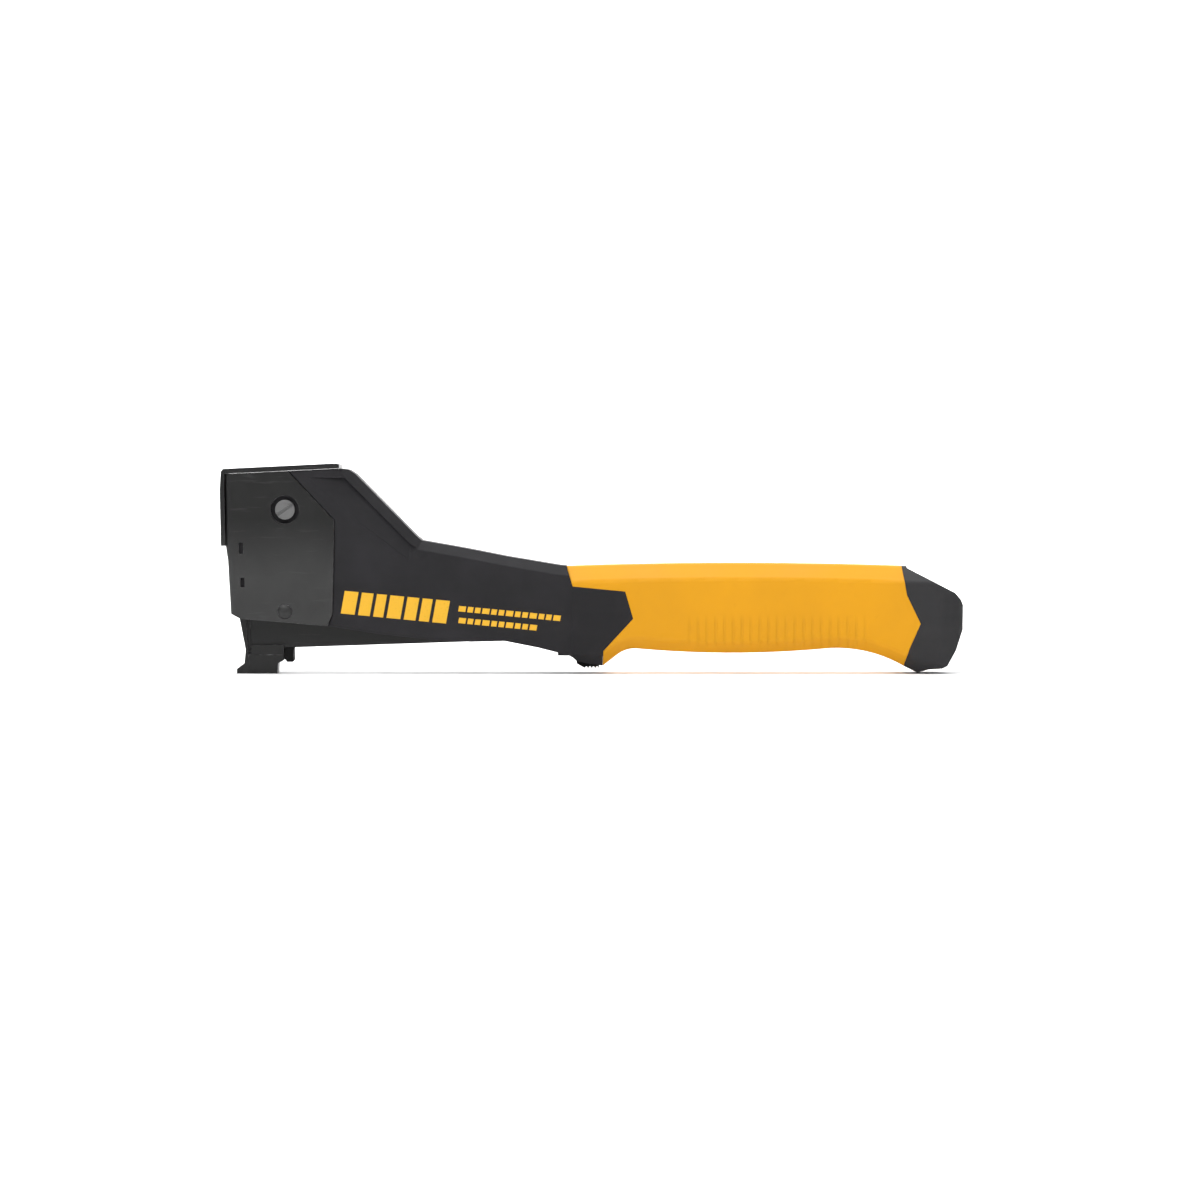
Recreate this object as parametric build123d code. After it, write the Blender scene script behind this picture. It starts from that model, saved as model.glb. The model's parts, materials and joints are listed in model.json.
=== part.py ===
"""Hammer tacker: a composite striking tool that drives a staple each time its nose hits a surface.

Frame: millimetres, +Z up, +X from the nose towards the butt of the handle, Y across the tool.
The origin is the middle of the nose foot's striking face.
The tool is drawn at rest: the spring holds the magazine down and the staple rail is latched home.
"""

from build123d import *
from math import cos, radians, sin
import os

# ---------------------------------------------------------------- driving dimensions
SHELL_HALF = 16.0             # half width of the composite head
NECK_HALF = 15.4              # half width of the neck
WAIST = (43.0, 145.0)         # X where the body starts and stops narrowing
HANDLE_HALF = 15.5
HANDLE_TOP_BEVEL = 7.5        # broad bevels along the handle
HANDLE_LOW_BEVEL = 5.0
CAP_HALF = 16.7               # half width over the steel head cap
CAP_WALL = 1.5                # sheet thickness of the head cap
RIM_DROP = 4.6                # height of the slanted rim along the top of the body
RIM_INSET = 3.4
FACET_TILT = 11.5             # slope of the sunk panel on the head, in degrees
FIT = 0.05                    # clearance between parts that are fixed together
GRIP_WALL = 2.6               # thickness of the soft grip over the handle core
HEAD_CAVITY = 12.6            # half width of the space inside the head and neck
HANDLE_CAVITY = 10.0
LATCH_CAVITY = 8.5
SLOT_HALF = 9.4               # half width of the slot under the body
SLOT_END = 134.0

STAPLE_CROWN = 10.6           # outside width of a heavy duty staple
PIVOT = (176.0, 24.5)         # X and Z of the magazine pivot
MAG_TILT = 1.88               # rest slope of the magazine, rising to the rear
DRIVE_RADIUS = 180.0          # the driver blade is curved about the pivot
SLOT_GAP = 0.8                # half thickness of the staple slot
BLADE_GAP = 0.6               # half thickness of the driver blade
BLADE_TIP = 24.4
CHANNEL_HALF = 6.7
CHANNEL_WALL = 1.2
CHANNEL_LOW = -6.8
CHANNEL_HIGH = 7.2
RAIL_HALF = 3.8
RAIL_LOW = -3.8
RAIL_HIGH = 4.2
RAIL_FRONT = -2.6
RAIL_REAR = 141.0
ROD_LEVEL = 0.6
NOSE_HALF = 8.0
RIVET_LEVEL = 8.6
RIVET_SIDE = 6.75
RIVET_RADIUS = 0.95
LATCH_PIN = (160.0, 13.0)
LATCH_REACH = 19.8            # from the latch pin to the tooth
HEAD_BOLT = (13.9, 78.5)
STOP_STUD = (13.9, 29.8)
SPRING_X = 44.0
LEDGE_Z = 72.0
SPRING_SEAT_Z = 27.4          # top of the channel under the return spring
SHELL_SCREWS = [(56.0, 60.0, 16.0), (98.0, 47.0, 15.7), (136.0, 43.0, 15.4), (262.0, 31.0, 12.8)]

# ---------------------------------------------------------------- outlines in X and Z
HEAD_FRONT = [(-10.45, 28.3), (-11.85, 54.2), (-12.85, 61.0), (-13.4, 95.6)]
HEAD_TOP = [(40.1, 98.2), (44.2, 97.7), (47.5, 95.5), (76.8, 65.8), (79.2, 63.8), (100.2, 60.1),
            (121.0, 56.0),
            (145.0, 52.0), (151.4, 51.3)]
HEAD_BOTTOM = [(151.4, 7.8), (149.3, 9.0), (135.3, 12.5), (118.6, 15.8), (102.7, 15.4), (82.6, 16.6),
               (58.6, 19.2),
               (34.1, 23.1), (-7.2, 26.5)]
GRIP_FRONT = [(147.4, 58.0), (148.6, 49.7), (151.2, 41.8), (176.2, 39.4), (180.0, 26.4), (165.8, 11.0),
              (165.1, -4.0)]
GRIP_REAR = [(309.6, -4.0), (309.6, 4.9), (312.0, 12.1), (317.3, 24.0), (310.8, 37.5), (309.1, 47.0),
             (307.6, 58.0)]
BUTT_END = [(310.8, 58.0), (311.0, 50.6), (333.9, 38.7), (336.7, 35.5), (337.9, 32.8), (337.7, 21.2),
            (334.3, 11.3),
            (330.0, 3.7), (327.6, 2.5), (321.1, 2.1), (316.0, 0.5), (309.7, 3.3)]
SPIGOT = [(140.0, -5.0), (317.0, -5.0), (317.0, 40.0), (311.5, 46.0), (311.5, 60.0), (140.0, 60.0)]
CAP_SIDE = [(-12.0, 28.8), (-13.4, 54.2), (-14.4, 61.0), (-14.95, 95.55), (15.2, 97.0), (37.4, 73.4),
            (37.4, 62.4),
            (36.5, 28.8), (34.1, 23.0), (-7.2, 26.4)]
PLATE = [(-14.45, 61.2), (-16.8, 61.2), (-17.3, 87.8), (-16.8, 96.6), (-15.6, 98.0), (37.9, 100.6),
         (39.8, 100.1),
         (39.8, 98.25), (-14.97, 95.6)]


# ---------------------------------------------------------------- helpers
def prism(points, low, high):
    """A side outline in X and Z, drawn out across Y from low to high."""
    wire = Polyline(*[(x, low, z) for x, z in points], close=True)
    return extrude(make_face(wire), high - low, dir=(0, 1, 0))


def block(x0, x1, y0, y1, z0, z1):
    return Location((x0, y0, z0)) * Box(x1 - x0, y1 - y0, z1 - z0, align=(Align.MIN,) * 3)


def both(shape):
    """The shape and its mirror image on the other side of the tool, as one shape."""
    return shape + mirror(shape, about=Plane.XZ)


def rod_y(x, z, radius, y0, y1):
    """A round bar across the tool."""
    bar = Cylinder(radius, y1 - y0, align=(Align.CENTER, Align.CENTER, Align.MIN))
    return Location((x, y0, z), (-90, 0, 0)) * bar


def rod_x(x0, x1, z, radius, y=0.0):
    """A round bar along the tool."""
    bar = Cylinder(radius, x1 - x0, align=(Align.CENTER, Align.CENTER, Align.MIN))
    return Location((x0, y, z), (0, 90, 0)) * bar


def inside_arc(radius, half):
    """Everything closer to the magazine pivot than the radius."""
    return rod_y(PIVOT[0], PIVOT[1], radius, -half, half)


def arc_wall(inner, outer, half):
    """A curved wall about the pivot, for what follows the path of the strike."""
    return inside_arc(outer, half) - inside_arc(inner, half + 1)


def in_magazine(shape):
    """Places a shape drawn with Z from the magazine's centre line and X as in the tool."""
    lean = Location((PIVOT[0], 0, PIVOT[1]), (0, -MAG_TILT, 0))
    return lean * (Location((-PIVOT[0], 0, 0)) * shape)


def coil(radius, wire, length, turns):
    """A compression spring standing on the XY plane."""
    path = Helix(length / turns, length, radius)
    section = Plane(origin=path @ 0, z_dir=path % 0) * Circle(wire)
    return sweep(section, path)


def left_of(shape):
    return shape & block(-60, 400, -40, 0, -40, 160)


def right_of(shape):
    return shape & block(-60, 400, 0, 40, -40, 160)


# ---------------------------------------------------------------- composite body
def handle_form(inset=0.0):
    """The whole handle, or its core when inset: flat sides, broad bevels above and below, softened."""
    half = HANDLE_HALF - inset
    up = Line((165.0, 0, 3.4 + inset), (172.5, 0, 9.2 + inset))
    stop = TangentArc(up @ 1, (182.1, 0, 12.0 + inset), tangent=up % 1)
    belly = TangentArc(stop @ 1, (272.0, 0, 12.0 + inset), tangent=stop % 1)
    flare = TangentArc(belly @ 1, (297.0, 0, 9.2 + inset), tangent=belly % 1)
    tail = TangentArc(flare @ 1, (309.6, 0, 3.6 + inset), tangent=flare % 1)
    toe = Polyline(tail @ 1, (317.0, 0, inset), (340.0, 0, inset))
    end = Line(toe @ 1, (340.0, 0, 50.2 - inset))
    top = ThreePointArc(end @ 1, (246.0, 0, 52.9 - inset), (144.0, 0, 51.3 - inset))
    front = Line(top @ 1, (144.0, 0, 5.4 + inset))
    heel = Line(front @ 1, up @ 0)
    side = make_face(Wire([up, stop, belly, flare, tail, *toe.edges(), end, top, front, heel]))
    form = extrude(side, half, dir=(0, 1, 0), both=True)
    form = chamfer([e for e in long_edges(form, half - 0.1) if e.center().Z > 40], HANDLE_TOP_BEVEL)
    form = chamfer([e for e in long_edges(form, half - 0.1) if e.center().Z < 30], HANDLE_LOW_BEVEL)
    return fillet(long_edges(form, 4.0), 3.0)


def long_edges(form, beyond):
    """The edges that run along the handle, further out than a distance from the middle."""
    inner = [e for e in form.edges() if 144.5 < e.center().X < 339.5 and abs(e.center().Y) > beyond]
    return [e for e in inner if e.length > 3 and abs(e.tangent_at(0.5).X) > 0.3]


def plan_form():
    """The body seen from above: parallel sides at the head, drawn in to the neck."""
    plan = Polyline((-30, SHELL_HALF), (WAIST[0], SHELL_HALF), (WAIST[1], NECK_HALF), (190, NECK_HALF),
                    (190, 0),
                    (-30, 0), close=True)
    return both(Location((0, 0, -20)) * extrude(make_face(plan), 140, dir=(0, 0, 1)))


def body_half(x):
    """Half width of the body at a station."""
    share = min(max((x - WAIST[0]) / (WAIST[1] - WAIST[0]), 0.0), 1.0)
    return SHELL_HALF + (NECK_HALF - SHELL_HALF) * share


def edge_bevel(points, drop, inset):
    """What comes off the edges of the body along part of its outline, mitred at each corner of the outline."""
    spots = [Vector(x, 0, z) for x, z in points]
    ups = []
    for start, end in zip(spots, spots[1:]):
        along = (end - start).normalized()
        ups.append(Vector(-along.Z, 0, along.X))
    rise = 3.0
    faces = []
    for spot, before, after in zip(spots, ups[:1] + ups, ups + ups[-1:]):
        mitre = (before + after) * (1.0 / (1.0 + before.dot(after)))
        wall = body_half(spot.X)
        rim = [(wall, -drop), (wall - inset * (drop + rise) / drop, rise), (wall + 6, rise),
               (wall + 6, -drop)]
        faces.append(make_face(Polyline(*[spot + Vector(0, y, 0) + mitre * z for y, z in rim], close=True)))
    cut = None
    for start, end in zip(faces, faces[1:]):
        wedge = loft([start, end], ruled=True)
        cut = wedge if cut is None else cut + wedge
    return both(cut)


def tilted_slab(origin, along, out):
    """A thick slab outside a tilted plane, used to sink a panel into the side."""
    plane = Plane(origin=origin, x_dir=along, z_dir=out)
    return plane * Box(200, 200, 60, align=(Align.CENTER, Align.CENTER, Align.MIN))


def side_facet():
    """The sunk panel under the rim of the head, deepest at the rim and closed by a ramp at its lower end."""
    run = Vector(49.0, 0, -43.2).normalized()
    rise = Vector(43.2, 0, 49.0).normalized()
    tilt = radians(FACET_TILT)
    slab = tilted_slab((48.0, SHELL_HALF, 73.4), run, rise * sin(tilt) + Vector(0, 1, 0) * cos(tilt))
    edge = Vector(4.5, 0, 5.6).normalized()
    inward = Vector(-5.6, 0, 4.5).normalized()
    ramp = radians(24)
    end = tilted_slab((75.0, body_half(75.0), 56.7), edge, inward * sin(ramp) + Vector(0, 1, 0) * cos(ramp))
    return both(prism([(21.5, 93.9), (42.3, 93.9), (74.4, 61.4), (77.6, 59.9), (73.2, 54.3)], 0,
                      20) & slab & end)


def body_space():
    """Everything hollow inside the two shells."""
    head = prism([(-9.3, 29.5), (34.1, 25.6), (58.6, 21.8), (82.6, 19.2), (102.7, 18.0), (118.8, 18.4),
                  (135.5, 15.2),
                  (149.5, 12.2), (149.5, 45.9), (145.0, 47.4), (100.0, 55.6), (77.0, 59.2), (72.0, 62.0),
                  (43.0, 91.5), (38.0, 92.5), (-9.3, 90.5)], -HEAD_CAVITY, HEAD_CAVITY)
    handle = prism([(146.0, 16.6), (194.0, 16.6), (224.0, 13.9), (239.0, 13.9), (262.0, 17.0), (300.0, 17.0),
                    (300.0, 44.0), (146.0, 44.0)], -HANDLE_CAVITY, HANDLE_CAVITY)
    latch = prism([(147.0, 12.8), (153.5, 9.0), (168.5, 9.0), (168.5, 20.0), (147.0, 20.0)], -LATCH_CAVITY,
                  LATCH_CAVITY)
    slot = block(-16, SLOT_END - SLOT_HALF, -SLOT_HALF, SLOT_HALF, 10, 30)
    slot_end = Location((SLOT_END - SLOT_HALF, 0, 10)) * Cylinder(SLOT_HALF, 20,
                                                                  align=(Align.CENTER, Align.CENTER,
                                                                         Align.MIN))
    press = block(149.6, 166.4, -6.5, 6.5, -5, 12)
    catch = block(130.0, 152.0, -3.0, 3.0, 5, 20)
    return head + handle + latch + slot + slot_end + press + catch


def body_posts():
    """Screw posts, the ledge for the return spring and the collars for the pivot, inside the hollow."""
    posts = block(36, 52, -13, 13, LEDGE_Z + 0.1, 75.5)
    posts += Location((SPRING_X, 0, LEDGE_Z - 3.0)) * Cylinder(2.9, 4,
                                                               align=(Align.CENTER, Align.CENTER, Align.MIN))
    for x, z, half in SHELL_SCREWS:
        posts += rod_y(x, z, 4.8, -half + 2, half - 2)
    for y in (-HANDLE_CAVITY - 0.5, 7.4):
        posts += rod_y(PIVOT[0], PIVOT[1], 7.0, y, y + HANDLE_CAVITY + 0.5 - 7.4)
    posts += both(block(111.1, 112.9, 8.6, 13, 15, 54))
    for x in (208, 282):
        posts += both(block(x - 0.9, x + 0.9, 8.6, HANDLE_CAVITY + 0.2, 18, 43.5))
    return posts


def body_bores():
    """Holes for everything that is held by the two shells."""
    x, z = HEAD_BOLT
    bores = rod_y(x, z, 3.05, -20, 20)
    bores += rod_y(x, z, 6.75, -20, -13.4) + rod_y(x, z, 6.75, 13.4, 20)
    x, z = STOP_STUD
    bores += rod_y(x, z, 2.5 + FIT, -20, 20)
    x, z = PIVOT
    bores += rod_y(x, z, 4.55, -11.1, 11.1)
    for x, z, half in SHELL_SCREWS:
        bores += rod_y(x, z, 1.65, -half + 4.5, 20)
        bores += rod_y(x, z, 3.7, half - 2.6, 20)
    bores += rod_x(300, 345, 31, 2.05)
    return bores


def body_solid():
    """Both shells as one, before they are parted."""
    outline = HEAD_FRONT + HEAD_TOP + HEAD_BOTTOM
    head = prism(outline, -20, 20) & plan_form()
    head -= edge_bevel([(43.0, 100.0)] + HEAD_TOP[3:], RIM_DROP, RIM_INSET)
    head -= edge_bevel(HEAD_BOTTOM[2:8], 1.6, 1.2)
    head -= side_facet()
    under_cap = prism(CAP_SIDE[:4] + [(-14, 99), (15.0, 99), (15.4, 97.2), (37.6, 73.5), (37.6, 62.4),
                                      (36.7, 28.7),
                                      (34.2, 20), (-14, 20)], CAP_HALF - CAP_WALL - FIT, 20)
    head -= both(under_cap)
    head -= prism(GRIP_FRONT + [(330, -4), (330, 58)], -20, 20)
    tongue = prism([(150.9, 8.1), (153.0, 6.2), (158.5, 4.9), (165.4, 3.9), (165.7, 11.0), (179.9, 26.4),
                    (176.1, 39.35), (151.1, 41.75)], -20, 20)
    core = handle_form(GRIP_WALL + FIT) & prism(SPIGOT, -20, 20)
    core -= block(140, 168, -20, 20, -1, 8.6)
    return head + (handle_form() & tongue) + core


def shells():
    body = body_solid() - body_space()
    inner = body_posts() & prism([(20, 30), (40, 93), (150, 53), (305, 47), (305, 13), (150, 13),
                                  (100, 17)], -14, 14)
    body = body + inner - body_bores()
    return left_of(body), right_of(body)


def grips():
    grip = handle_form() - handle_form(GRIP_WALL)
    grip &= prism(GRIP_FRONT + GRIP_REAR, -20, 20)
    grip -= block(140, 166.4, -6.5, 6.5, -5, 14)
    return left_of(grip), right_of(grip)


def butt_cap():
    """The moulded end of the handle, rounded in plan, over the end of the core."""
    profile = prism([(x + FIT, z) for x, z in GRIP_REAR[1:]] + BUTT_END, -20, 20)
    rear = Spline((324, 15.6), (333, 13.8), (338.2, 8.0), tangents=[(1, 0), (0.15, -1)])
    edges = [Line((300, 15.6), (324, 15.6)), rear, Line((338.2, 8.0), (338.2, 0)), Line((338.2, 0), (300, 0)),
             Line((300, 0), (300, 15.6))]
    plan = both(Location((0, 0, -10)) * extrude(make_face(Wire(edges)), 80))
    cap = handle_form() & profile & plan
    cap -= handle_form(GRIP_WALL) & prism([(x + 4 * FIT, z) for x, z in SPIGOT], -20, 20)
    cap -= rod_x(300, 345, 31, 2.1)
    cap -= rod_x(329.95, 345, 31, 4.3)
    return cap


# ---------------------------------------------------------------- steel head and driver
def head_cap():
    """Bent steel round the front and sides of the head."""
    outer = prism(CAP_SIDE, -CAP_HALF, CAP_HALF)
    front_edges = [e for e in outer.edges() if abs(e.center().Y) > CAP_HALF - 0.1 and e.center().X < -9 and
                   e.bounding_box().size.Z > 5]
    outer = fillet(front_edges, 2.4)
    half = CAP_HALF - CAP_WALL
    inner = [(x + CAP_WALL, z) for x, z in CAP_SIDE[:4]]
    inner = [(inner[0][0], 10)] + inner + [(-13.4, 110), (60, 110), (60, 10)]
    cap = outer - prism(inner, -half, half)
    x, z = HEAD_BOLT
    cap -= rod_y(x, z, 6.75, -20, 20)
    x, z = STOP_STUD
    cap -= rod_y(x, z, 2.5 + FIT, -20, 20)
    cap -= block(-8.0, -6.0, -20, 20, 57.4, 62.8)
    cap -= block(-7.2, -5.4, -20, 20, 41.4, 46.0)
    return cap


def strike_plate():
    """Thick plate over the top and upper front of the head, the face used for knocking."""
    plate = prism(PLATE, -CAP_HALF, CAP_HALF)
    corners = [e for e in plate.edges() if abs(e.center().Y) > CAP_HALF - 0.1 and e.center().X < -16.5 and
               e.bounding_box().size.Z > 5]
    return fillet(corners, 2.0)


def head_bolt():
    x, z = HEAD_BOLT
    bolt = rod_y(x, z, 4.7, -16.0, -13.4) + rod_y(x, z, 3.0, -13.4, 16.0)
    slot = block(-6, 6, -17, -14.4, -0.8, 0.8)
    return bolt - Location((x, 0, z), (0, -35, 0)) * slot


def head_nut():
    x, z = HEAD_BOLT
    nut = Location((x, 13.4, z), (-90, 0, 0)) * extrude(RegularPolygon(5.0, 6, major_radius=False), 2.4)
    return nut - rod_y(x, z, 3.0 + FIT, 10, 20)


def driver_block():
    """Steel block clamped in the head that carries the blade."""
    body = block(-9.25, 24.0, -HEAD_CAVITY + FIT, HEAD_CAVITY - FIT, 64.0, 90.4)
    body -= arc_wall(DRIVE_RADIUS - BLADE_GAP - FIT, DRIVE_RADIUS + BLADE_GAP + FIT,
                     STAPLE_CROWN / 2) & block(
        -20, 20, -20, 20, 60, 74.1)
    body -= rod_y(HEAD_BOLT[0], HEAD_BOLT[1], 3.0 + FIT, -20, 20)
    return body - rod_x(-12, 12, 69, 1.5 + FIT)


def driver_blade():
    wall = arc_wall(DRIVE_RADIUS - BLADE_GAP, DRIVE_RADIUS + BLADE_GAP, STAPLE_CROWN / 2 - 0.1)
    blade = wall & block(-20, 20, -20, 20, BLADE_TIP, 74.0)
    return blade - rod_x(-12, 12, 69, 1.5 + FIT)


def driver_pin():
    return rod_x(-9.0, 11.9, 69, 1.5)


def impact_bumper():
    """Rubber pad that stops the magazine at the end of the strike."""
    return block(8.5, 23.5, -9.5, 9.5, 57.4, 63.95)


def stop_studs():
    """Riveted studs the magazine hangs on; their round heads show on the cap."""
    x, z = STOP_STUD
    stud = rod_y(x, z, 2.5, 8.7, CAP_HALF)
    head = Location((x, CAP_HALF - 5.6, z)) * Sphere(6.6) & block(x - 9, x + 9, CAP_HALF, 20, z - 9, z + 9)
    stud += head
    return both(stud)


def pivot_bushings():
    x, z = PIVOT
    ring = rod_y(x, z, 4.5, 7.45, 11.05) - rod_y(x, z, 3.0 + FIT, 7, 12)
    return both(ring)


def shell_screws():
    screws = None
    for x, z, half in SHELL_SCREWS:
        top = half - 0.5
        screw = rod_y(x, z, 3.5, half - 2.55, top) + rod_y(x, z, 1.6, -half + 4.6, half - 2.55)
        for turn in (0, 90):
            screw -= Location((x, top, z), (0, turn + 20, 0)) * Box(3.6, 2.4, 0.8)
        screws = screw if screws is None else screws + screw
    return screws


def butt_screw():
    screw = rod_x(330.0, 333.5, 31, 4.0) + rod_x(303.0, 330.0, 31, 2.0)
    for turn in (0, 90):
        screw -= Location((333.5, 0, 31), (turn, 0, 0)) * Box(3.0, 4.4, 1.0)
    return screw


def return_spring():
    low = SPRING_SEAT_Z + 1.2
    spring = coil(4.4, 0.65, LEDGE_Z - low - 1.4, 9)
    return Location((SPRING_X, 0, low + 0.7)) * spring


# ---------------------------------------------------------------- magazine
def magazine_channel():
    """Long steel channel, open below, that holds the staples round the rail."""
    outer = block(-10, PIVOT[0] + 6, -CHANNEL_HALF, CHANNEL_HALF, CHANNEL_LOW, CHANNEL_HIGH)
    half = CHANNEL_HALF - CHANNEL_WALL
    outer -= block(-20, 200, -half, half, CHANNEL_LOW - 1, CHANNEL_HIGH - CHANNEL_WALL)
    lips = both(block(24, PIVOT[0] - 22, half - 0.8, half + 0.1, CHANNEL_LOW, CHANNEL_LOW + 0.8))
    body = in_magazine(outer + lips)
    for x in (150, 118, 86):
        body -= in_magazine(Location((x, 0, CHANNEL_HIGH)) * Cylinder(2.2, 6))
    body += both(prism([(156.0, 18.4), (164.0, 18.6), (163.2, 10.6), (156.8, 10.6)], half + FIT,
                       CHANNEL_HALF))
    body -= rod_y(LATCH_PIN[0], LATCH_PIN[1], 1.5 + FIT, -20, 20)
    return body & inside_arc(DRIVE_RADIUS - SLOT_GAP, 20)


def rivet_bores():
    return both(rod_x(-12, 3.0, RIVET_LEVEL, RIVET_RADIUS + FIT, RIVET_SIDE))


def nose_block():
    """Hard steel nose under the channel, with the foot that meets the work."""
    side = [(-9.0, 0), (9.8, 0), (10.1, 5.0), (12.0, 5.8), (12.9, 6.6), (12.9, 11.9), (-9.0, 11.2)]
    body = prism(side, -NOSE_HALF, NOSE_HALF)
    rear = body & inside_arc(DRIVE_RADIUS - SLOT_GAP, 20)
    cheek = body & arc_wall(DRIVE_RADIUS - SLOT_GAP - 0.5, DRIVE_RADIUS + SLOT_GAP, 20)
    cheek -= block(-20, 20, -STAPLE_CROWN / 2 - 0.15, STAPLE_CROWN / 2 + 0.15, -5, 40)
    under = in_magazine(block(-30, 40, -20, 20, CHANNEL_LOW, 30))
    body = rear + cheek - under
    body -= both(block(-6, 14, CHANNEL_HALF - FIT, NOSE_HALF + 1, 9.0 - FIT, 30))
    stem_room = RAIL_HALF - 0.9
    body -= in_magazine(block(-30, 40, -stem_room, stem_room, CHANNEL_LOW - 4.5, 30)) & block(4, 20, -9, 9,
                                                                                              0, 30)
    return body - rivet_bores()


def nose_plate():
    """Front wall of the staple slot, from the toe of the foot up past the channel."""
    side = [(-8.5, 34.0), (-8.3, 26.4), (-5.4, 11.5), (-6.0, 5.0), (-9.6, 2.2), (-9.6, 0), (6, 0), (6, 34.0)]
    plate = prism(side, -NOSE_HALF, NOSE_HALF) - inside_arc(DRIVE_RADIUS + SLOT_GAP, 20)
    guide = arc_wall(DRIVE_RADIUS - SLOT_GAP + FIT, DRIVE_RADIUS + SLOT_GAP, NOSE_HALF) & block(
        -12, 6, STAPLE_CROWN / 2 + 0.2, CHANNEL_HALF, 11.6, 33.0)
    plate += both(guide)
    return plate - rivet_bores()


def nose_rivets():
    """Flush rivets through the front wall into the nose."""
    return both(rod_x(-5.4, 2.9, RIVET_LEVEL, RIVET_RADIUS, RIVET_SIDE))


def nose_cheeks():
    """Cheek plates that carry the nose on the sides of the channel."""
    cheek = prism([(-6, 9.0), (12.9, 9.0), (12.9, 13.9), (-6, 13.5)], CHANNEL_HALF, NOSE_HALF)
    return both(cheek & inside_arc(DRIVE_RADIUS - SLOT_GAP, 20)) - rivet_bores()


def trunnions():
    x, z = PIVOT
    stub = rod_y(x, z, 3.0, CHANNEL_HALF, 10.9) + rod_y(x, z, 5.0, CHANNEL_HALF, CHANNEL_HALF + 0.5)
    return both(stub)


def stop_bracket():
    """Folded bracket whose wings rest on the studs and meet the bumper."""
    wing = block(8, 20, -11, 11, 13.2, 15.2)
    leg = block(8, 20, 5.0, 6.6, CHANNEL_HIGH, 13.3)
    return in_magazine(wing + both(leg))


def spring_seat():
    cup = Location((SPRING_X, 0, 0)) * Cylinder(5.6, 1.0, align=(Align.CENTER, Align.CENTER, Align.MIN))
    peg = Location((SPRING_X, 0, 0)) * Cylinder(3.2, 4.0, align=(Align.CENTER, Align.CENTER, Align.MIN))
    return in_magazine(Location((0, 0, CHANNEL_HIGH)) * (cup + peg))


def latch_pin():
    return rod_y(LATCH_PIN[0], LATCH_PIN[1], 1.5, -CHANNEL_HALF, CHANNEL_HALF)


def latch_spring():
    """Torsion spring round the latch pin."""
    turns = coil(2.6, 0.35, 4.2, 5)
    return Location((LATCH_PIN[0], -2.1, LATCH_PIN[1]), (-90, 0, 0)) * turns


def latch_lever():
    """Catch for the staple rail, with the ribbed thumb pad under the finger stop."""
    x, z = LATCH_PIN
    tooth = prism([(138, 21.4), (145.8, 21.5), (146.2, 18.0), (152, 15.6), (152, 12.0), (138, 15.0)], -2.2,
                  2.2)
    tooth &= rod_y(x, z, LATCH_REACH, -6, 6)
    arm = prism([(146.0, 17.0), (155.0, 16.2), (163.6, 16.4), (163.4, 9.6), (164.2, 6.0), (163.6, 2.7),
                 (156.6, 2.7),
                 (153.2, 4.6), (152.4, 7.6), (155.6, 9.8), (146.0, 13.2)], -5.2, 5.2)
    neck = block(140, 152.6, -20, 20, 0, 30) - block(140, 152.6, -2.2, 2.2, 0, 30)
    lever = tooth + (arm - neck)
    lever -= rod_y(x, z, 1.5 + FIT, -20, 20)
    lever -= rod_y(x, z, 3.4, -2.6, 2.6)
    lever -= block(x - 3.4, x + 3.4, -2.6, 2.6, z, z + 6)
    for step in range(4):
        lever -= block(157.3 + 1.7 * step, 158.0 + 1.7 * step, -6, 6, 2.0, 3.3)
    return lever


# ---------------------------------------------------------------- staple rail
def staple_rail():
    """Inverted channel inside the magazine that the staples straddle."""
    body = block(RAIL_FRONT, RAIL_REAR, -RAIL_HALF, RAIL_HALF, RAIL_LOW, RAIL_HIGH)
    body -= block(-20, 200, -RAIL_HALF + 1.0, RAIL_HALF - 1.0, RAIL_LOW - 1, RAIL_HIGH - 1.0)
    body -= block(3.0, 130.0, -1.0, 1.0, 0, 10)
    body -= rod_y(RAIL_REAR - 2.5, -2.2, 0.8 + FIT, -10, 10)
    return in_magazine(body)


def rail_front_plug():
    plug = block(RAIL_FRONT + 0.4, 2.4, -2.75, 2.75, -1.6, RAIL_HIGH - 1.05)
    return in_magazine(plug - rod_x(-10, 10, ROD_LEVEL, 1.1 + FIT))


def rail_end_block():
    """Block at the rear of the rail that guides it in the channel and meets the latch."""
    x = RAIL_REAR
    core = block(x - 5, x, -2.75, 2.75, RAIL_LOW, RAIL_HIGH - 1.05)
    shoe = block(x - 5, x, RAIL_HALF + FIT, 5.4, -4.4, 5.85) + block(x - 5, x, 0, 5.4, RAIL_HIGH + FIT, 5.85)
    core -= rod_x(0, 200, ROD_LEVEL, 1.1 + FIT)
    pin = rod_y(x - 2.5, -2.2, 0.8, -5.4, 5.4)
    return in_magazine(core + both(shoe) + pin)


def guide_rod():
    return in_magazine(rod_x(RAIL_FRONT + 0.5, RAIL_REAR - 0.1, ROD_LEVEL, 1.1))


def follower_spring():
    spring = coil(2.05, 0.25, 125.0, 24)
    return in_magazine(Location((10.6, 0, ROD_LEVEL), (0, 90, 0)) * spring)


def pull_tab():
    """Black tab under the nose; the loading rail is drawn back by it."""
    tab = prism([(13.2, 12.3), (13.2, 7.2), (14.4, 5.5), (17.0, 5.5), (17.6, 6.4), (17.6, 12.3)], -7.0, 7.0)
    stem = block(13.2, 17.6, -2.7, 2.7, 12.0, 17.35)
    rail_room = in_magazine(block(0, 30, 2.75, 3.85, RAIL_LOW - 0.05, RAIL_HIGH))
    return tab + stem - both(rail_room)


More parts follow.
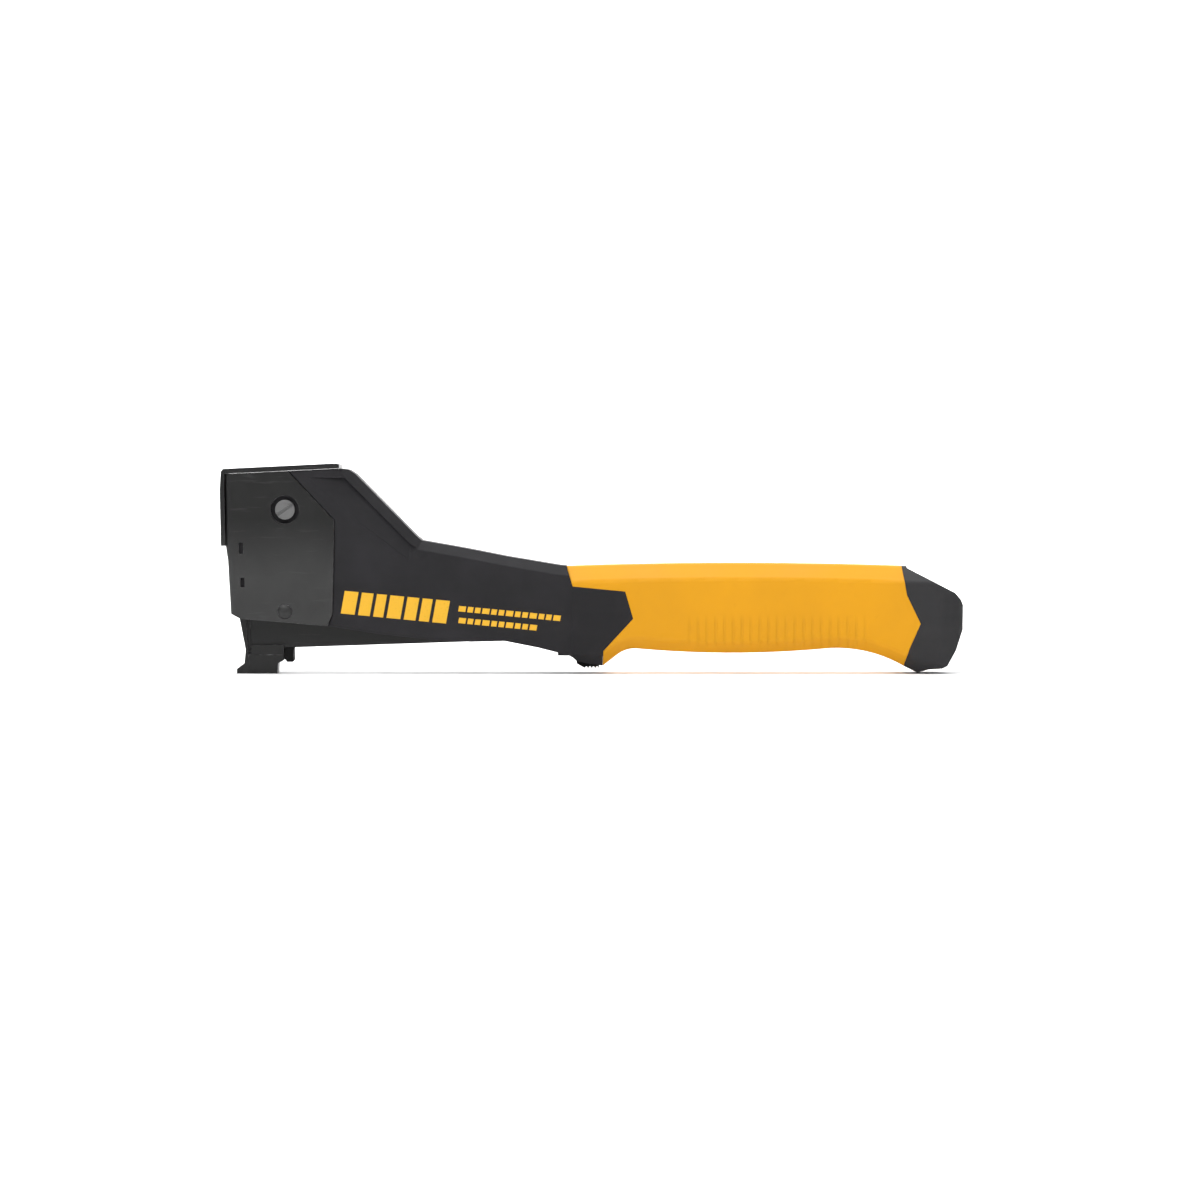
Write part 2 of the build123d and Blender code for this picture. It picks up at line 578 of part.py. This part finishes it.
def follower():
    """Saddle that pushes the staples along the rail."""
    outer = block(-2.0, 10.0, -5.2, 5.2, -3.4, 5.6)
    outer -= block(-5, 20, -RAIL_HALF - FIT, RAIL_HALF + FIT, -10, RAIL_HIGH + FIT)
    web = block(3.4, 10.0, -0.9, 0.9, 0.5, 5.0)
    lug = block(3.4, 10.0, -2.65, 2.65, -1.6, RAIL_HIGH - 1.1)
    return in_magazine(outer + web + lug - rod_x(-5, 20, ROD_LEVEL, 1.1 + FIT))


# ---------------------------------------------------------------- every part by name
def main():
    os.makedirs("parts", exist_ok=True)
    left_shell, right_shell = shells()
    left_grip, right_grip = grips()
    nodes = {
        "left_shell": left_shell, "right_shell": right_shell, "left_grip": left_grip,
        "right_grip": right_grip,
        "butt_cap": butt_cap(), "butt_screw": butt_screw(), "shell_screws": shell_screws(),
        "head_cap": head_cap(), "strike_plate": strike_plate(), "head_bolt": head_bolt(),
        "head_nut": head_nut(),
        "driver_block": driver_block(), "driver_blade": driver_blade(), "driver_pin": driver_pin(),
        "impact_bumper": impact_bumper(), "stop_studs": stop_studs(), "pivot_bushings": pivot_bushings(),
        "return_spring": return_spring(),
        "magazine_channel": magazine_channel(), "nose_block": nose_block(), "nose_plate": nose_plate(),
        "nose_rivets": nose_rivets(), "nose_cheeks": nose_cheeks(), "trunnions": trunnions(),
        "stop_bracket": stop_bracket(), "spring_seat": spring_seat(), "latch_pin": latch_pin(),
        "latch_spring": latch_spring(), "latch_lever": latch_lever(),
        "staple_rail": staple_rail(), "rail_front_plug": rail_front_plug(),
        "rail_end_block": rail_end_block(),
        "guide_rod": guide_rod(), "follower_spring": follower_spring(), "pull_tab": pull_tab(),
        "follower": follower(),
    }
    for name, shape in nodes.items():
        export_step(shape, f"parts/{name}.step")


main()
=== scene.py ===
"""Looks, light and camera for the hammer tacker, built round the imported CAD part. Metres throughout."""

import json
import math

import bmesh
import bpy
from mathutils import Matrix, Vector


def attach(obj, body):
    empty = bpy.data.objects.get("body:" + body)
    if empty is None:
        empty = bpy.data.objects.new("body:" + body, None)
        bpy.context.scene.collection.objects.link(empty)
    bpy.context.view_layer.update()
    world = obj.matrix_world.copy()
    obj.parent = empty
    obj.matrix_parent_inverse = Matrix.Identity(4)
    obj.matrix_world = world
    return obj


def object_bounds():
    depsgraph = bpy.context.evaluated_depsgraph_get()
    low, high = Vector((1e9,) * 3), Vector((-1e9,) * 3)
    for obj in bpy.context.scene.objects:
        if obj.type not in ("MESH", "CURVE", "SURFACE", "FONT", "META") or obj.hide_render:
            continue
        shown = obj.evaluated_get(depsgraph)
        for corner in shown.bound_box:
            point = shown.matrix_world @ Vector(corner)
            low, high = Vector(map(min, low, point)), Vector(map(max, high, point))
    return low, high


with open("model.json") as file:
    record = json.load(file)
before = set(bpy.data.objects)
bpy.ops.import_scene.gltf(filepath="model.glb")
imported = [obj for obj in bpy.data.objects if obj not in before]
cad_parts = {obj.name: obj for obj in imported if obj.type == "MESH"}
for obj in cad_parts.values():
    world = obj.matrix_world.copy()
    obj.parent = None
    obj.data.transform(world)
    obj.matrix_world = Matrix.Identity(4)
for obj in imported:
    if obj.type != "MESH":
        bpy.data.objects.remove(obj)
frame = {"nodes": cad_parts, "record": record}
cad_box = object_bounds()

NODES = frame["nodes"]

# ---------------------------------------------------------------- camera framing
VIEW_WIDTH = 0.576            # width of the picture at the tool
VIEW_CENTRE = (0.1642, 0.0, 0.035)
VIEW_DISTANCE = 2.6
VIEW_ELEVATION = 1.5          # degrees above the horizon
SENSOR = 36.0

# ---------------------------------------------------------------- printed marks
BAND_SLOPE = math.tan(math.radians(5.5))
BAR_START = (0.0405, 0.0290)  # X and Z of the foot of the first bar
BAR_WIDTHS = (0.0066, 0.0056, 0.0048, 0.0066, 0.0056, 0.0048, 0.0066)
BAR_HEIGHT = 0.0108
BAR_GAP = 0.0016
BAR_LEAN = 0.18
DASH_START = (0.0965, 0.0300)
DASH_COUNTS = (13, 10)
DASH_PITCH = 0.0056           # between the two rows of dashes
DASH_HEIGHT = 0.0026
DASH_WIDTH = 0.0026
DASH_WIDE = 0.0034            # every third dash
DASH_GAP = 0.0009
DASH_LEAN = 0.2
INK_LIFT = 0.00004
INK_THICKNESS = 0.00006
PATCH_COLUMNS = 8
PATCH_ROWS = 2


# ---------------------------------------------------------------- material building blocks
class Shader:
    """One node material, with short calls for the nodes it needs."""

    def __init__(self, name):
        self.material = bpy.data.materials.new(name)
        self.material.use_nodes = True
        self.tree = self.material.node_tree
        self.tree.nodes.clear()
        self.surface = self.add("ShaderNodeBsdfPrincipled")
        output = self.add("ShaderNodeOutputMaterial")
        self.link(self.surface.outputs["BSDF"], output.inputs["Surface"])
        self.coords = self.add("ShaderNodeTexCoord").outputs["Object"]

    def add(self, kind, **settings):
        node = self.tree.nodes.new(kind)
        for key, value in settings.items():
            setattr(node, key, value)
        return node

    def link(self, source, target):
        self.tree.links.new(source, target)

    def feed(self, target, value):
        """Sets a socket from a number, a colour or another socket."""
        if isinstance(value, bpy.types.NodeSocket):
            self.link(value, target)
        else:
            target.default_value = value

    def noise(self, size, detail=3.0, stretch=(1, 1, 1), roughness=0.5):
        """Noise whose features are about size metres."""
        mapping = self.add("ShaderNodeMapping")
        mapping.inputs["Scale"].default_value = stretch
        self.link(self.coords, mapping.inputs["Vector"])
        node = self.add("ShaderNodeTexNoise")
        node.inputs["Scale"].default_value = 1.0 / size
        node.inputs["Detail"].default_value = detail
        node.inputs["Roughness"].default_value = roughness
        self.link(mapping.outputs["Vector"], node.inputs["Vector"])
        return node.outputs["Fac"]

    def math(self, operation, a, b=0.0, clamp=False):
        node = self.add("ShaderNodeMath", operation=operation, use_clamp=clamp)
        self.feed(node.inputs[0], a)
        self.feed(node.inputs[1], b)
        return node.outputs[0]

    def remap(self, value, low, high, out_low, out_high):
        node = self.add("ShaderNodeMapRange", clamp=True)
        self.feed(node.inputs["Value"], value)
        ends = (("From Min", low), ("From Max", high), ("To Min", out_low), ("To Max", out_high))
        for socket, number in ends:
            node.inputs[socket].default_value = number
        return node.outputs["Result"]

    def mix(self, factor, a, b):
        node = self.add("ShaderNodeMix", data_type="RGBA")
        self.feed(node.inputs[0], factor)
        self.feed(node.inputs[6], a)
        self.feed(node.inputs[7], b)
        return node.outputs[2]

    def axis(self, name):
        """One coordinate of the object, in metres."""
        split = self.add("ShaderNodeSeparateXYZ")
        self.link(self.coords, split.inputs[0])
        return split.outputs[name]

    def rounded(self, radius):
        """A normal that rounds the edges over a small radius."""
        bevel = self.add("ShaderNodeBevel", samples=6)
        bevel.inputs["Radius"].default_value = radius
        return bevel.outputs["Normal"]

    def edges(self, radius, low=0.02, high=0.25):
        """1 on the edges and 0 on flat faces."""
        geometry = self.add("ShaderNodeNewGeometry")
        dot = self.add("ShaderNodeVectorMath", operation="DOT_PRODUCT")
        self.link(self.rounded(radius), dot.inputs[0])
        self.link(geometry.outputs["Normal"], dot.inputs[1])
        return self.remap(dot.outputs["Value"], 1.0 - low, 1.0 - high, 0.0, 1.0)

    def bump(self, height, distance, strength=1.0, normal=None):
        node = self.add("ShaderNodeBump")
        node.inputs["Strength"].default_value = strength
        node.inputs["Distance"].default_value = distance
        self.link(height, node.inputs["Height"])
        if normal is not None:
            self.link(normal, node.inputs["Normal"])
        return node.outputs["Normal"]

    def finish(self, **inputs):
        for name, value in inputs.items():
            self.feed(self.surface.inputs[name.replace("_", " ")], value)
        return self.material


def grey(value, tint=0.0):
    """A grey with a slight violet tint."""
    return (value * (1 + 0.3 * tint), value, value * (1 + tint), 1.0)


def shade(colour, factor, limit=1.0):
    """A colour made darker or lighter, no channel above the limit."""
    return tuple(min(c * factor, limit) for c in colour[:3]) + (1.0,)


def moulded_plastic(name, base, rough, grain=0.00045, depth=0.00003, edge_gain=1.7, gloss=0.35):
    """Matt moulded plastic: spark texture, slow mottling, rubbed and polished edges."""
    s = Shader(name)
    mottle = s.noise(0.03, 4.0)
    smear = s.noise(0.012, 3.0, (0.25, 1, 1.6))
    fine = s.noise(grain, 2.5)
    edge = s.math("MULTIPLY", s.edges(0.0008), s.remap(s.noise(0.006, 4.0), 0.35, 0.65, 0.25, 1.0))
    colour = s.mix(s.remap(mottle, 0.35, 0.65, 0.0, 1.0), shade(base, 0.82), shade(base, 1.2))
    colour = s.mix(edge, colour, shade(base, edge_gain))
    handled = s.remap(smear, 0.3, 0.7, rough - 0.06, rough + 0.06)
    roughness = s.math("ADD", handled, s.math("MULTIPLY", edge, -0.12))
    normal = s.bump(fine, depth, 0.6, s.rounded(0.0006))
    return s.finish(Base_Color=colour, Roughness=roughness, Normal=normal, Specular_IOR_Level=gloss)


def coated_steel(name, base, rough, wear=0.5, wear_colour=(0.3, 0.3, 0.31, 1.0), painted_shade_above=None):
    """Black coated sheet steel: orange peel, faint scuffs, bright metal showing along the edges, and
    painted shade darkening the upper part when a height is given.
    """
    s = Shader(name)
    cloud = s.noise(0.025, 4.0)
    scuff = s.remap(s.noise(0.0016, 5.0, (0.12, 1, 1)), 0.62, 0.78, 0.0, 0.5)
    patches = s.remap(s.noise(0.004, 5.0), 0.45, 0.62, 0.0, 1.0)
    edge = s.math("MULTIPLY", s.math("MULTIPLY", s.edges(0.0005, 0.03, 0.3), patches), wear)
    colour = s.mix(s.remap(cloud, 0.3, 0.7, 0.0, 1.0), shade(base, 0.85), shade(base, 1.15))
    # painted shade: the colour darkens towards black above the given height, standing in for the dark
    # reflection on the upper part
    if painted_shade_above is not None:
        top_shade = s.remap(s.axis("Z"), painted_shade_above - 0.016, painted_shade_above + 0.012, 0.0, 0.8)
        colour = s.mix(top_shade, colour, shade(base, 0.03))
    colour = s.mix(s.math("MULTIPLY", scuff, 0.25), colour, (0.12, 0.12, 0.125, 1.0))
    colour = s.mix(edge, colour, wear_colour)
    film = s.remap(cloud, 0.3, 0.7, rough - 0.05, rough + 0.06)
    roughness = s.math("ADD", film, s.math("MULTIPLY", scuff, 0.15))
    peel = s.bump(s.noise(0.0011, 2.0), 0.00002, 0.5, s.rounded(0.0005))
    metal = s.math("MULTIPLY", edge, 0.9)
    return s.finish(Base_Color=colour, Roughness=roughness, Metallic=metal, Normal=peel,
                    Specular_IOR_Level=0.32)


def bare_steel(name, base, rough, brush=(1, 1, 0.05), stain=0.3):
    """Bare steel: brushing lines in one direction, oil stain, polished edges."""
    s = Shader(name)
    lines = s.noise(0.0012, 4.0, brush, 0.7)
    oil = s.remap(s.noise(0.008, 4.0), 0.45, 0.7, 0.0, stain)
    edge = s.edges(0.0004)
    colour = s.mix(oil, base, shade(base, 0.55))
    colour = s.mix(s.math("MULTIPLY", edge, 0.5), colour, shade(base, 1.5, 0.9))
    brushed = s.remap(lines, 0.3, 0.7, rough - 0.08, rough + 0.1)
    roughness = s.math("ADD", brushed, s.math("MULTIPLY", oil, 0.2))
    normal = s.bump(lines, 0.000012, 0.5, s.rounded(0.0004))
    return s.finish(Base_Color=colour, Roughness=roughness, Metallic=1.0, Normal=normal)


def grip_rubber(name, base):
    """Soft overmould: fine stipple, shallow upright ribs low on the side with painted shade in their
    grooves, a little grime in random spots.
    """
    s = Shader(name)
    stipple = s.noise(0.0004, 2.5)
    tone = s.noise(0.035, 3.0)
    colour = s.mix(s.remap(tone, 0.35, 0.65, 0.0, 1.0), shade(base, 0.94), base)
    grime = s.remap(s.noise(0.005, 5.0), 0.62, 0.8, 0.0, 0.10)
    colour = s.mix(grime, colour, (base[0] * 0.55, base[1] * 0.5, base[2] * 0.6, 1.0))
    # painted shade: the colour darkens a little along the grip's sharp edges and creases
    edge = s.edges(0.0006)
    colour = s.mix(s.math("MULTIPLY", edge, 0.35), colour, shade(base, 0.7))
    normal = s.bump(stipple, 0.00003, 0.55, s.rounded(0.0008))
    roughness = s.remap(tone, 0.3, 0.7, 0.5, 0.62)
    x, z = s.axis("X"), s.axis("Z")
    wave = s.math("SINE", s.math("MULTIPLY", x, 2 * math.pi / 0.0042))
    groove = s.remap(wave, 0.2, 1.0, 0.0, 1.0)
    span = s.math("MULTIPLY", s.remap(x, 0.203, 0.209, 0.0, 1.0), s.remap(x, 0.289, 0.295, 1.0, 0.0))
    low = s.math("MULTIPLY", s.remap(z, 0.0125, 0.0150, 0.0, 1.0), s.remap(z, 0.0240, 0.0290, 1.0, 0.0))
    depth = s.math("MULTIPLY", s.math("MULTIPLY", groove, span), low)
    normal = s.bump(depth, -0.00025, 0.9, normal)
    # painted shade: the rib grooves are darkened in colour
    colour = s.mix(s.math("MULTIPLY", depth, 0.16), colour, shade(base, 0.6))
    return s.finish(Base_Color=colour, Roughness=roughness, Normal=normal, Specular_IOR_Level=0.22)


def printed_ink(name, base):
    """Pad printing: slightly uneven ink with worn specks."""
    s = Shader(name)
    wear = s.remap(s.noise(0.0007, 4.0), 0.62, 0.72, 0.0, 0.5)
    colour = s.mix(wear, base, shade(base, 0.45))
    normal = s.bump(s.noise(0.0003, 2.0), 0.00001, 0.4)
    roughness = s.remap(s.noise(0.002), 0.3, 0.7, 0.35, 0.5)
    return s.finish(Base_Color=colour, Roughness=roughness, Normal=normal)


CHARCOAL = grey(0.0145, 0.14)
YELLOW = (0.66, 0.300, 0.005, 1.0)


def make_materials():
    """Every finish of the tool, by material slot of the record."""
    return {
        "composite": moulded_plastic("composite", CHARCOAL, 0.58, gloss=0.20),
        "grip": grip_rubber("grip", YELLOW),
        "butt": moulded_plastic("butt", grey(0.019, 0.08), 0.62, grain=0.0006, gloss=0.3),
        "black_screw": coated_steel("black_screw", grey(0.02), 0.4),
        # the cap plate gets painted shade on its upper part, above 62 mm
        "black_steel": coated_steel("black_steel", grey(0.034), 0.38, painted_shade_above=0.062),
        "bright_steel": bare_steel("bright_steel", grey(0.19), 0.42),
        "bare_steel": bare_steel("bare_steel", grey(0.38), 0.3),
        "bumper_rubber": moulded_plastic("bumper_rubber", grey(0.02), 0.7),
        "dark_rivet": coated_steel("dark_rivet", grey(0.022), 0.42),
        "bronze": bare_steel("bronze", (0.5, 0.33, 0.15, 1.0), 0.4),
        "spring_steel": bare_steel("spring_steel", grey(0.3), 0.32),
        "magazine_steel": coated_steel("magazine_steel", grey(0.012), 0.38),
        "nose_steel": coated_steel("nose_steel", grey(0.013), 0.42, 0.7),
        "rail_steel": bare_steel("rail_steel", grey(0.34), 0.34, (0.05, 1, 1)),
        "pull_black": moulded_plastic("pull_black", grey(0.004), 0.6, gloss=0.12),
        "latch_black": moulded_plastic("latch_black", grey(0.005), 0.6, gloss=0.15),
    }


def dress_nodes(materials):
    """Gives every CAD node its finish."""
    for part in frame["record"]["subparts"]:
        node = NODES[part["node"]]
        node.data.materials.clear()
        node.data.materials.append(materials[part["material_slot"]])


# ---------------------------------------------------------------- printed marks on the side
def side_depth(shell, x, z, side):
    """Y of the shell's outer face at a place on its side."""
    hit, place, _, _ = shell.ray_cast(Vector((x, side * 0.1, z)), Vector((0, -side, 0)))
    return place.y if hit else side * 0.016


def printed_patch(name, shell, corners, side, ink):
    """A thin four-cornered patch of ink that follows the side of a shell."""
    mesh = bpy.data.meshes.new(name)
    bm = bmesh.new()
    a, b, c, d = [Vector(p) for p in corners]
    grid = []
    for i in range(PATCH_COLUMNS + 1):
        row = []
        for j in range(PATCH_ROWS + 1):
            u, v = i / PATCH_COLUMNS, j / PATCH_ROWS
            p = a.lerp(b, u).lerp(d.lerp(c, u), v)
            y = side_depth(shell, p.x, p.y, side) + side * INK_LIFT
            row.append(bm.verts.new((p.x, y, p.y)))
        grid.append(row)
    for i in range(PATCH_COLUMNS):
        for j in range(PATCH_ROWS):
            quad = [grid[i][j], grid[i + 1][j], grid[i + 1][j + 1], grid[i][j + 1]]
            bm.faces.new(quad if side < 0 else quad[::-1])
    bm.to_mesh(mesh)
    bm.free()
    patch = bpy.data.objects.new(name, mesh)
    bpy.context.scene.collection.objects.link(patch)
    mesh.materials.append(ink)
    solid = patch.modifiers.new("ink", "SOLIDIFY")
    solid.thickness = INK_THICKNESS
    solid.offset = 0.0
    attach(patch, "body")
    return patch


def slanted_bar(x, z, width, height, lean):
    """Corners of a leaning bar whose foot starts at x, z and follows the slope of the band."""
    drop = width * BAND_SLOPE
    return [(x, z), (x + width, z - drop), (x + width + height * lean, z - drop + height),
            (x + height * lean, z + height)]


def printed_marks(ink):
    """A plain band of slanted bars and two rows of dashes, on both sides of the neck."""
    for side, tag in ((-1, "left"), (1, "right")):
        shell = NODES[f"{tag}_shell"]
        x = BAR_START[0]
        for i, width in enumerate(BAR_WIDTHS):
            foot = BAR_START[1] - (x - BAR_START[0]) * BAND_SLOPE
            corners = slanted_bar(x, foot, width, BAR_HEIGHT, BAR_LEAN)
            printed_patch(f"mark_{tag}_{i}", shell, corners, side, ink)
            x += width + BAR_GAP
        for row, count in enumerate(DASH_COUNTS):
            x = DASH_START[0]
            for i in range(count):
                width = DASH_WIDTH if i % 3 else DASH_WIDE
                foot = DASH_START[1] - row * DASH_PITCH - (x - DASH_START[0]) * BAND_SLOPE
                corners = slanted_bar(x, foot, width, DASH_HEIGHT, DASH_LEAN)
                printed_patch(f"dash_{tag}_{row}_{i}", shell, corners, side, ink)
                x += width + DASH_GAP


# ---------------------------------------------------------------- set, light and camera
def backdrop():
    """Pale floor that curves up into a wall behind the tool."""
    floor = cad_box[0].z
    width, near, back, height, bend = 6.0, -4.0, 2.2, 4.0, 1.4
    profile = [(near, floor), (back - bend, floor)]
    for i in range(1, 13):
        angle = math.radians(90 * i / 12)
        profile.append((back - bend + bend * math.sin(angle), floor + bend - bend * math.cos(angle)))
    profile.append((back, floor + height))
    mesh = bpy.data.meshes.new("backdrop")
    points = [(x, y, z) for y, z in profile for x in (-width / 2, width / 2)]
    faces = [(2 * i, 2 * i + 1, 2 * i + 3, 2 * i + 2) for i in range(len(profile) - 1)]
    mesh.from_pydata(points, [], faces)
    for face in mesh.polygons:
        face.use_smooth = True
    sheet = bpy.data.objects.new("backdrop", mesh)
    bpy.context.scene.collection.objects.link(sheet)
    s = Shader("paper")
    colour = s.mix(s.noise(0.05, 3.0), (0.93, 0.93, 0.935, 1.0), (0.95, 0.95, 0.95, 1.0))
    mesh.materials.append(s.finish(Base_Color=colour, Roughness=0.9, Specular_IOR_Level=0.1))


def area_light(name, place, target, size, power):
    light = bpy.data.lights.new(name, "AREA")
    light.shape = "RECTANGLE"
    light.size, light.size_y = size
    light.energy = power
    lamp = bpy.data.objects.new(name, light)
    bpy.context.scene.collection.objects.link(lamp)
    lamp.location = place
    lamp.rotation_euler = (Vector(target) - Vector(place)).to_track_quat("-Z", "Y").to_euler()
    return lamp


def light_studio():
    middle = VIEW_CENTRE
    area_light("key", (-0.45, -1.2, 1.75), middle, (1.2, 0.9), 23)
    area_light("top", (0.15, 0.05, 1.6), middle, (2.0, 1.0), 27)
    area_light("rim", (0.9, 1.3, 1.2), middle, (1.4, 0.9), 15)
    area_light("wall", (0.16, 0.9, 1.6), (0.16, 2.2, 0.8), (3.0, 1.0), 70)
    area_light("floor", (0.16, -2.7, 1.7), (0.16, -2.9, 0.0), (4.0, 1.6), 55)
    world = bpy.data.worlds.new("studio")
    world.use_nodes = True
    sky = world.node_tree.nodes["Background"]
    sky.inputs["Color"].default_value = (1.0, 1.0, 1.0, 1.0)
    sky.inputs["Strength"].default_value = 0.17
    bpy.context.scene.world = world


def place_camera():
    data = bpy.data.cameras.new("camera")
    data.sensor_width = SENSOR
    data.lens = SENSOR * VIEW_DISTANCE / VIEW_WIDTH
    data.clip_end = 30.0
    camera = bpy.data.objects.new("camera", data)
    bpy.context.scene.collection.objects.link(camera)
    tilt = math.radians(VIEW_ELEVATION)
    centre = Vector(VIEW_CENTRE)
    camera.location = centre + VIEW_DISTANCE * Vector((0, -math.cos(tilt), math.sin(tilt)))
    camera.rotation_euler = (math.radians(90) - tilt, 0, 0)
    bpy.context.scene.camera = camera


finishes = make_materials()
dress_nodes(finishes)
printed_marks(printed_ink("ink", (0.74, 0.40, 0.012, 1.0)))
backdrop()
light_studio()
place_camera()
bpy.context.scene.view_settings.view_transform = "Standard"
